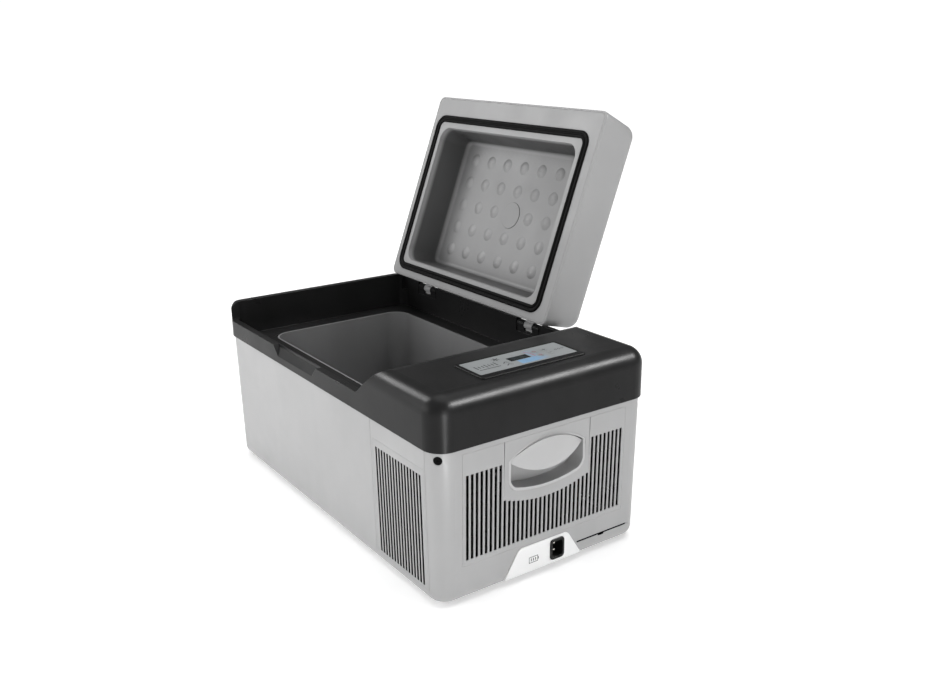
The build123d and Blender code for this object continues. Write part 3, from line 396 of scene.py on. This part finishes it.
MATERIALS = {
    "outer_casing": casing,
    "front_grille": side_panel,
    "rear_grille": side_panel,
    "end_grille": end_panel,
    "end_handle": grip,
    "far_handle": grip,
    "corner_screws": screw_black,
    "feet": foot_rubber,
    "top_frame": black,
    "tub_liner": tub,
    "evaporator": fins,
    "foam_jacket": foam,
    "bulkhead": dark_steel,
    "machine_tray": dark_steel,
    "tray_screws": zinc,
    "compressor": shell_black,
    "compressor_mounts": foot_rubber,
    "condenser_fins": dark_steel,
    "condenser_coil": dark_steel,
    "refrigerant_pipes": copper,
    "filter_drier": copper,
    "fan_shroud": fan_black,
    "fan_motor": shell_black,
    "fan_rotor": fan_black,
    "power_board": board,
    "display_board": board,
    "control_pod": pod_black,
    "inlet_plate": white,
    "inlet_socket": socket_black,
    "inlet_pins": brass,
    "hinge_bases": black,
    "hinge_pins": zinc,
    "lid_shell": lid_out,
    "lid_liner": liner,
    "lid_plug": liner,
    "lid_gasket": gasket,
    "lid_foam": foam,
    "lid_hinges": lid_out,
}
for node_name, node_material in MATERIALS.items():
    paint(node_name, node_material)


# how far a printed edge takes to blend into the film
PRINT_EDGE = 0.0003


def label_material(name, zones):
    """Silver film; each zone (x0, x1, y0, y1, fade, amount) is printed pale blue."""
    g = Graph(name)
    place = g.axes()
    sheen = g.noise(40.0, 4.0, 0.55)
    colour = g.ramp(sheen, [(0.3, (0.28, 0.297, 0.302)), (0.7, (0.33, 0.348, 0.353))])
    for x0, x1, y0, y1, fade, amount in zones:
        mask = amount
        for axis, low, high in ((0, x0, x1), (1, y0, y1)):
            value = place[axis]
            mask = g.math("MULTIPLY", g.span(value, 0.0, 1.0, low - PRINT_EDGE, low), mask)
            edge = fade if axis == 1 else PRINT_EDGE
            mask = g.math("MULTIPLY", g.span(value, 1.0, 0.0, high - edge, high), mask)
        tint = g.ramp(g.noise(260.0, 2.0), [(0.3, (0.19, 0.38, 0.60)), (0.7, (0.23, 0.42, 0.64))])
        colour = g.mix(mask, colour, tint)
    fine = g.noise(1900.0, 2.0, 0.6)
    colour = g.mix(g.math("MULTIPLY", fine, 0.08), colour, (0.05, 0.05, 0.05))
    return g.finish(colour=colour, rough=g.span(sheen, 0.3, 0.42), specular=0.35,
                    normal=g.bump(fine, 0.25, 0.00001))


# a strong patch on the display's machine-end side, and a fainter one round the power key
PRINTED_ZONES = (
    (0.2322, 0.2452, -0.008, 0.036, 0.02, 0.9),
    (0.2100, 0.2322, 0.0157, 0.036, 0.02, 0.45),
)
paint("control_label", label_material("label silver", PRINTED_ZONES))
key_film = label_material("key film silver", ())
for node_name in ("key_power", "key_set", "key_up", "key_down"):
    paint(node_name, key_film)


def window_material():
    """Dark smoked window with fine dust and finger smears."""
    g = Graph("display window")
    smear = g.noise(60.0, 5.0, 0.6, None, 1.0)
    colour = g.ramp(smear, [(0.3, (0.003, 0.006, 0.007)), (0.7, (0.006, 0.011, 0.013))])
    return g.finish(colour=colour, rough=g.span(smear, 0.12, 0.25), specular=0.08,
                    normal=g.bump(g.noise(900.0), 0.1, 0.00002))


window = window_material()
paint("display_window", window)

# ------------------------------------------------------------------ pieces in mesh code
CLOSED_TO_OPEN = (
    Matrix.Translation(HINGE)
    @ Matrix.Rotation(-LID_OPEN, 4, "X")
    @ Matrix.Translation(-HINGE)
)


def mesh_piece(name, form, material, body, smooth=False):
    """Turn a bmesh into a piece that rides on a body."""
    bmesh.ops.recalc_face_normals(form, faces=form.faces)
    mesh = bpy.data.meshes.new(name)
    form.to_mesh(mesh)
    form.free()
    piece = bpy.data.objects.new(name, mesh)
    bpy.context.scene.collection.objects.link(piece)
    mesh.materials.append(material)
    mesh.polygons.foreach_set("use_smooth", [smooth] * len(mesh.polygons))
    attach(piece, body)
    return piece


def ring_path(x0, x1, y0, y1, radius, steps=14):
    """Points and outward directions round a rectangle with round corners."""
    path = []
    corners = ((x1, y1, 0), (x0, y1, 90), (x0, y0, 180), (x1, y0, 270))
    for x, y, start in corners:
        cx = x - math.copysign(radius, x - (x0 + x1) / 2)
        cy = y - math.copysign(radius, y - (y0 + y1) / 2)
        for i in range(steps + 1):
            angle = math.radians(start + 90 * i / steps)
            out = Vector((math.cos(angle), math.sin(angle), 0))
            path.append((Vector((cx, cy, 0)) + radius * out, out))
    return path


def swept_ring(path, profile):
    """A closed band: each profile point is (outward, upward) from the path."""
    form = bmesh.new()
    rows = []
    for point, out in path:
        rows.append([form.verts.new(point + out * u + Vector((0, 0, v))) for u, v in profile])
    for i, row in enumerate(rows):
        after = rows[(i + 1) % len(rows)]
        for j, vert in enumerate(row):
            k = (j + 1) % len(row)
            form.faces.new((vert, after[j], after[k], row[k]))
    return form


def prism(outline, z0, z1):
    """A flat-topped solid over a closed outline of (x, y) points."""
    form = bmesh.new()
    low = [form.verts.new((x, y, z0)) for x, y in outline]
    high = [form.verts.new((x, y, z1)) for x, y in outline]
    form.faces.new(low[::-1])
    form.faces.new(high)
    for i, vert in enumerate(low):
        k = (i + 1) % len(low)
        form.faces.new((vert, low[k], high[k], high[i]))
    return form


def merge(forms):
    """Put several bmeshes into one."""
    whole = bmesh.new()
    for form in forms:
        part = bpy.data.meshes.new("part")
        form.to_mesh(part)
        form.free()
        whole.from_mesh(part)
        bpy.data.meshes.remove(part)
    return whole


# the gasket's centre line and profile, with the lid closed
GASKET_X = (-0.2538, 0.0978)
GASKET_Y = (-0.1133, 0.1293)
GASKET_CORNER = 0.0143
GASKET_HALF = 0.0054
GASKET_BACK_Z = 0.195
LIP_ROOT_Z = 0.1924
LIP_TIP_Z = 0.1907
LIP_DROP = 0.0016
LIP_HALF = 0.0023
LIP_OUT = 0.003
VALLEY_Z = 0.1921
VALLEY_HALF = 0.0005


def lip(centre, steps=6):
    """The round of one lip, from its outer side to its inner side."""
    points = []
    for i in range(1, steps):
        angle = math.radians(180 * i / steps)
        across = centre + LIP_HALF * math.cos(angle)
        points.append((across, LIP_TIP_Z + LIP_DROP - LIP_DROP * math.sin(angle)))
    return points


def build_gasket():
    """Lid gasket: a double-lipped soft profile swept round the bowl."""
    profile = [(GASKET_HALF, GASKET_BACK_Z), (GASKET_HALF, LIP_ROOT_Z)]
    profile += lip(LIP_OUT)
    profile += [(VALLEY_HALF, VALLEY_Z), (-VALLEY_HALF, VALLEY_Z)]
    profile += lip(-LIP_OUT)
    profile += [(-GASKET_HALF, LIP_ROOT_Z), (-GASKET_HALF, GASKET_BACK_Z)]
    form = swept_ring(ring_path(*GASKET_X, *GASKET_Y, GASKET_CORNER), profile)
    bmesh.ops.transform(form, matrix=CLOSED_TO_OPEN, verts=form.verts)
    piece = mesh_piece("gasket_seal", form, gasket, "lid", smooth=True)
    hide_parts("lid_gasket")


def flat_material(name, colour, spot, rough=0.35):
    """Printed ink: fine halftone speckle over the film's own grain."""
    g = Graph(name)
    speckle = g.noise(1800.0, 2.0, 0.6)
    patch = g.noise(90.0, 3.0, 0.5)
    tone = g.ramp(g.mix(0.5, speckle, patch), [(0.3, colour), (0.7, spot)])
    return g.finish(colour=tone, rough=g.span(patch, rough, rough + 0.12),
                    normal=g.bump(speckle, 0.2, 0.00001))


ink_dark = flat_material("ink dark grey", (0.012, 0.013, 0.014), (0.03, 0.032, 0.034))
ink_pink = flat_material("ink pink", (0.36, 0.10, 0.13), (0.46, 0.15, 0.19))
ink_grey = flat_material("ink grey", (0.015, 0.015, 0.015), (0.04, 0.04, 0.04))
segment_ink = flat_material("display segments", (0.03, 0.045, 0.05), (0.045, 0.06, 0.065), 0.15)


def stroke(points, width, z0, z1):
    """A flat line of even width through (x, y) points."""
    forms = []
    for (ax, ay), (bx, by) in zip(points, points[1:]):
        along = Vector((bx - ax, by - ay, 0)).normalized()
        side = Vector((-along.y, along.x, 0)) * width / 2
        reach = along * width * 0.35
        a = Vector((ax, ay, 0)) - reach
        b = Vector((bx, by, 0)) + reach
        forms.append(prism([(v.x, v.y) for v in (a + side, a - side, b - side, b + side)], z0, z1))
    return forms


def circle(cx, cy, radius, start=0, end=360, steps=24):
    """Points on an arc, in degrees."""
    arc = []
    for i in range(steps + 1):
        angle = math.radians(start + (end - start) * i / steps)
        arc.append((cx + radius * math.cos(angle), cy + radius * math.sin(angle)))
    return arc


LABEL_MID_X = 0.2265
INK_RISE = 0.00006


def ink_line(points, width):
    """A printed line on the control label."""
    return stroke(points, width, PRINT_Z, PRINT_Z + INK_RISE)


def frost_star(x, y, arm=0.0048, width=0.0012):
    """Three crossed lines."""
    lines = []
    for turn in (0, 60, 120):
        dx, dy = arm * math.cos(math.radians(turn)), arm * math.sin(math.radians(turn))
        lines += ink_line([(x - dx, y - dy), (x + dx, y + dy)], width)
    return lines


def level_scale(x, y, ticks=7, pitch=0.0046, long=0.0046, short=0.0026, width=0.0015):
    """A row of ticks in which every third one is long."""
    lines = []
    for i in range(ticks):
        tick_y = y + i * pitch
        reach = short if i % 3 else long
        lines += ink_line([(x - reach, tick_y), (x + reach, tick_y)], width)
    return lines


def chevron(x, y, size=0.004, width=0.0012):
    """An open arrow head that points towards -X."""
    return ink_line([(x + size, y - size), (x, y), (x + size, y + size)], width)


def build_label_print():
    """Generic marks on the control label: a star, a level scale, a bar, arrows and dots."""
    marks = frost_star(0.2145, -0.0265)
    marks += level_scale(LABEL_MID_X, -0.0625)
    marks += ink_line([(0.2355, -0.063), (0.2355, -0.034)], 0.0014)
    for x in (0.2355, 0.2275):
        marks += chevron(x, -0.0225)
    for y in (0.0555, 0.0605, 0.0655):
        marks += ink_line(circle(LABEL_MID_X, y, 0.0015, steps=14), 0.0006)
    mesh_piece("label_marks", merge(marks), ink_dark, "cabinet")
    tick = ink_line([(0.2125, 0.0172), (0.2195, 0.0212), (0.2305, 0.0212)], 0.0013)
    mesh_piece("label_tick", merge(tick), ink_pink, "cabinet")


# the keys' centres, and how deep and how high an icon stands in a key's face
KEY_X = (0.219, 0.232)
KEY_Y = (0.028, 0.043)
ICON_SINK = 0.00001
ICON_RISE = 0.00008


def icon_line(points, width=0.0006):
    """A raised line on a key's face."""
    return stroke(points, width, KEY_Z - ICON_SINK, KEY_Z + ICON_RISE)


def power_ring(x, y):
    """A ring with a gap, and a short bar in the gap."""
    ring = icon_line(circle(x, y, 0.002, 35, 325, 20))
    return ring + icon_line([(x + 0.0006, y), (x + 0.0026, y)])


def toothed_ring(x, y):
    """A small ring with six teeth."""
    lines = icon_line(circle(x, y, 0.0013, steps=16))
    for i in range(6):
        angle = math.radians(i * 60)
        dx, dy = math.cos(angle), math.sin(angle)
        lines += icon_line([(x + reach * dx, y + reach * dy) for reach in (0.0018, 0.0027)])
    return lines


def minus(x, y, reach=0.0022):
    """A bar along Y."""
    return icon_line([(x, y - reach), (x, y + reach)], 0.0007)


def plus(x, y, reach=0.0022):
    """A bar along X with the minus sign's bar across it."""
    return icon_line([(x - reach, y), (x + reach, y)], 0.0007) + minus(x, y)


def build_key_icons():
    """A raised icon on each key: a power ring, a toothed ring, plus and minus."""
    mode_icons = {
        "key_power": power_ring(KEY_X[0], KEY_Y[0]),
        "key_set": toothed_ring(KEY_X[1], KEY_Y[0]),
    }
    level_icons = {
        "key_up": plus(KEY_X[0], KEY_Y[1]),
        "key_down": minus(KEY_X[1], KEY_Y[1]),
    }
    for icons, ink in ((mode_icons, ink_pink), (level_icons, ink_dark)):
        for key, forms in icons.items():
            mesh_piece(key + "_icon", merge(forms), ink, key)


DIGIT_X = 0.225
DIGIT_Y = (-0.0052, 0.0052)
DIGIT_HALF_WIDTH = 0.0026
BAR_PITCH = 0.0036
BAR_GAP = 0.0007
BAR_WIDTH = 0.0008
BAR_RISE = 0.00004


def segment(start, end):
    """One bar of a digit."""
    return stroke([start, end], BAR_WIDTH, PRINT_Z, PRINT_Z + BAR_RISE)


def build_segments():
    """Two unlit seven-segment digits on the display window's face."""
    forms = []
    for centre in DIGIT_Y:
        left, right = centre - DIGIT_HALF_WIDTH, centre + DIGIT_HALF_WIDTH
        levels = (DIGIT_X - BAR_PITCH, DIGIT_X, DIGIT_X + BAR_PITCH)
        for x in levels:
            forms += segment((x, left + BAR_GAP), (x, right - BAR_GAP))
        for x0, x1 in zip(levels, levels[1:]):
            for y in (left, right):
                forms += segment((x0 + BAR_GAP, y), (x1 - BAR_GAP, y))
    mesh_piece("display_digits", merge(forms), segment_ink, "cabinet")


BATTERY_Y = (-0.0258, -0.0128)
BATTERY_Z = (0.0195, 0.0268)
BATTERY_INK = 0.00005


def battery_line(points, width):
    """A printed line laid out in (y, z), with its thickness along X."""
    return stroke(points, width, PLATE_X, PLATE_X + BATTERY_INK)


def build_plate_icon():
    """A generic battery outline with bars on the white plate."""
    (y0, y1), (z0, z1) = BATTERY_Y, BATTERY_Z
    forms = battery_line([(y0, z0), (y1, z0), (y1, z1), (y0, z1), (y0, z0)], 0.0008)
    for i in range(3):
        bar_y = y0 + 0.0032 + i * 0.0033
        forms += battery_line([(bar_y, z0 + 0.0022), (bar_y, z1 - 0.0022)], 0.0013)
    pole_y = y1 + 0.0009
    forms += battery_line([(pole_y, z0 + 0.0024), (pole_y, z1 - 0.0024)], 0.0011)
    form = merge(forms)
    upright = Matrix(((0, 0, 1, 0), (1, 0, 0, 0), (0, 1, 0, 0), (0, 0, 0, 1)))
    bmesh.ops.transform(form, matrix=upright, verts=form.verts)
    mesh_piece("plate_icon", form, ink_grey, "cabinet")


SCREEN_GAP = 0.0004
SCREEN_INSET = 0.00125
SCREEN_CLOTH = 0.0004
PLEATS = 54
PLEAT_DEPTH = 0.0016


def build_shade_screen():
    """Pleated black screen just inside the rear grille: a dark sheet standing in for the shade
    inside the bay, so no daylight shows through the bay.
    """
    low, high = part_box("rear_grille")
    wall = low.y - SCREEN_GAP
    left, right = low.x + SCREEN_INSET, high.x - SCREEN_INSET
    face = []
    for i in range(PLEATS + 1):
        face.append((left + (right - left) * i / PLEATS, wall - PLEAT_DEPTH * (i % 2)))
    outline = face + [(x, y - SCREEN_CLOTH) for x, y in reversed(face)]
    form = prism(outline, low.z + SCREEN_INSET, high.z - SCREEN_INSET)
    mesh_piece("rear_shade_screen", form, shade_screen_cloth, "cabinet")


build_gasket()
build_shade_screen()
build_label_print()
build_key_icons()
build_segments()
build_plate_icon()

# ------------------------------------------------------------------ camera, floor and light
CAMERA_PLACE = (1.095575, -0.682218, 0.630488)
AZIMUTH = math.radians(55.278)
ELEVATION = math.radians(17.81)
ROLL = math.radians(-0.696)
LENS = 38.18
LENS_SHIFT = (0.00243, -0.00587)


def add_camera():
    """Camera at the photograph's viewing angle."""
    right = Vector((math.cos(AZIMUTH), math.sin(AZIMUTH), 0))
    back = Vector((
        math.sin(AZIMUTH) * math.cos(ELEVATION),
        -math.cos(AZIMUTH) * math.cos(ELEVATION),
        math.sin(ELEVATION),
    ))
    up = back.cross(right)
    tilted_right = math.cos(ROLL) * right + math.sin(ROLL) * up
    tilted_up = math.cos(ROLL) * up - math.sin(ROLL) * right
    turn = Matrix((tilted_right, tilted_up, back)).transposed()
    data = bpy.data.cameras.new("camera")
    data.lens = LENS
    data.sensor_width = 36.0
    data.shift_x, data.shift_y = LENS_SHIFT
    data.clip_start = 0.02
    data.clip_end = 60.0
    camera = bpy.data.objects.new("camera", data)
    bpy.context.scene.collection.objects.link(camera)
    camera.matrix_world = Matrix.Translation(CAMERA_PLACE) @ turn.to_4x4()
    bpy.context.scene.camera = camera


add_camera()


def floor_material():
    """Pale studio sweep."""
    g = Graph("floor pale")
    tone = g.noise(1.5, 3.0, 0.5)
    colour = g.ramp(tone, [(0.3, 0.94), (0.7, 0.96)])
    return g.finish(colour=colour, rough=g.span(tone, 0.75, 0.85), specular=0.2,
                    emission=(1.0, 1.0, 1.0), glow=0.3)


FLOOR_REACH = 12.0
FLOOR_DROP = 0.0005


def add_floor():
    """A wide sheet just under the feet."""
    mesh = bpy.data.meshes.new("floor")
    form = bmesh.new()
    bmesh.ops.create_grid(form, x_segments=8, y_segments=8, size=FLOOR_REACH)
    form.to_mesh(mesh)
    form.free()
    floor = bpy.data.objects.new("floor", mesh)
    bpy.context.scene.collection.objects.link(floor)
    floor.location.z = -FLOOR_DROP
    mesh.materials.append(floor_material())


WHITE = (1.0, 1.0, 1.0, 1.0)
ROOM_LIGHT = 0.2
BACKDROP_LIGHT = 1.05


def add_room():
    """A dim white room with a bright backdrop that only the camera sees."""
    world = bpy.data.worlds.new("studio")
    bpy.context.scene.world = world
    world.use_nodes = True
    tree = world.node_tree
    room = tree.nodes["Background"]
    backdrop = tree.nodes.new("ShaderNodeBackground")
    for node, strength in ((room, ROOM_LIGHT), (backdrop, BACKDROP_LIGHT)):
        node.inputs["Color"].default_value = WHITE
        node.inputs["Strength"].default_value = strength
    seen = tree.nodes.new("ShaderNodeLightPath")
    choose = tree.nodes.new("ShaderNodeMixShader")
    tree.links.new(seen.outputs["Is Camera Ray"], choose.inputs[0])
    tree.links.new(room.outputs[0], choose.inputs[1])
    tree.links.new(backdrop.outputs[0], choose.inputs[2])
    tree.links.new(choose.outputs[0], tree.nodes["World Output"].inputs[0])


def softbox(name, place, target, size, power, glint=False):
    """A large area light that faces the target; a glint shows only in reflections."""
    data = bpy.data.lights.new(name, "AREA")
    data.shape = "RECTANGLE"
    data.size, data.size_y = size
    data.energy = power
    lamp = bpy.data.objects.new(name, data)
    bpy.context.scene.collection.objects.link(lamp)
    lamp.location = place
    aim = Vector(target) - Vector(place)
    lamp.rotation_mode = "QUATERNION"
    lamp.rotation_quaternion = aim.to_track_quat("-Z", "Y")
    lamp.visible_camera = False
    lamp.visible_diffuse = not glint


def add_sun():
    """A very soft overhead light that comes a little from behind and from the far end."""
    data = bpy.data.lights.new("overhead", "SUN")
    data.energy = 2.1
    data.angle = math.radians(55)
    sun = bpy.data.objects.new("overhead", data)
    bpy.context.scene.collection.objects.link(sun)
    sun.rotation_euler = (math.radians(-8), math.radians(-6), 0)


add_floor()
add_room()
softbox("key", (-1.0, -2.0, 0.75), (0, 0, 0.15), (1.8, 1.0), 24)
softbox("fill", (2.3, -0.5, 0.55), (0.1, 0, 0.15), (1.3, 0.9), 15.5)
softbox("edge_back", (1.16, 0.87, 1.26), (0.27, 0, 0.25), (0.9, 0.35), 78, glint=True)
softbox("edge_left", (-1.0, -0.62, 1.1), (0.2, -0.15, 0.25), (0.3, 0.7), 14, glint=True)
softbox("corner_strip", (0.69, -0.25, 0.12), (0.28, -0.14, 0.2), (0.1, 0.22), 1.6, glint=True)
add_sun()
bpy.context.scene.view_settings.view_transform = "Standard"
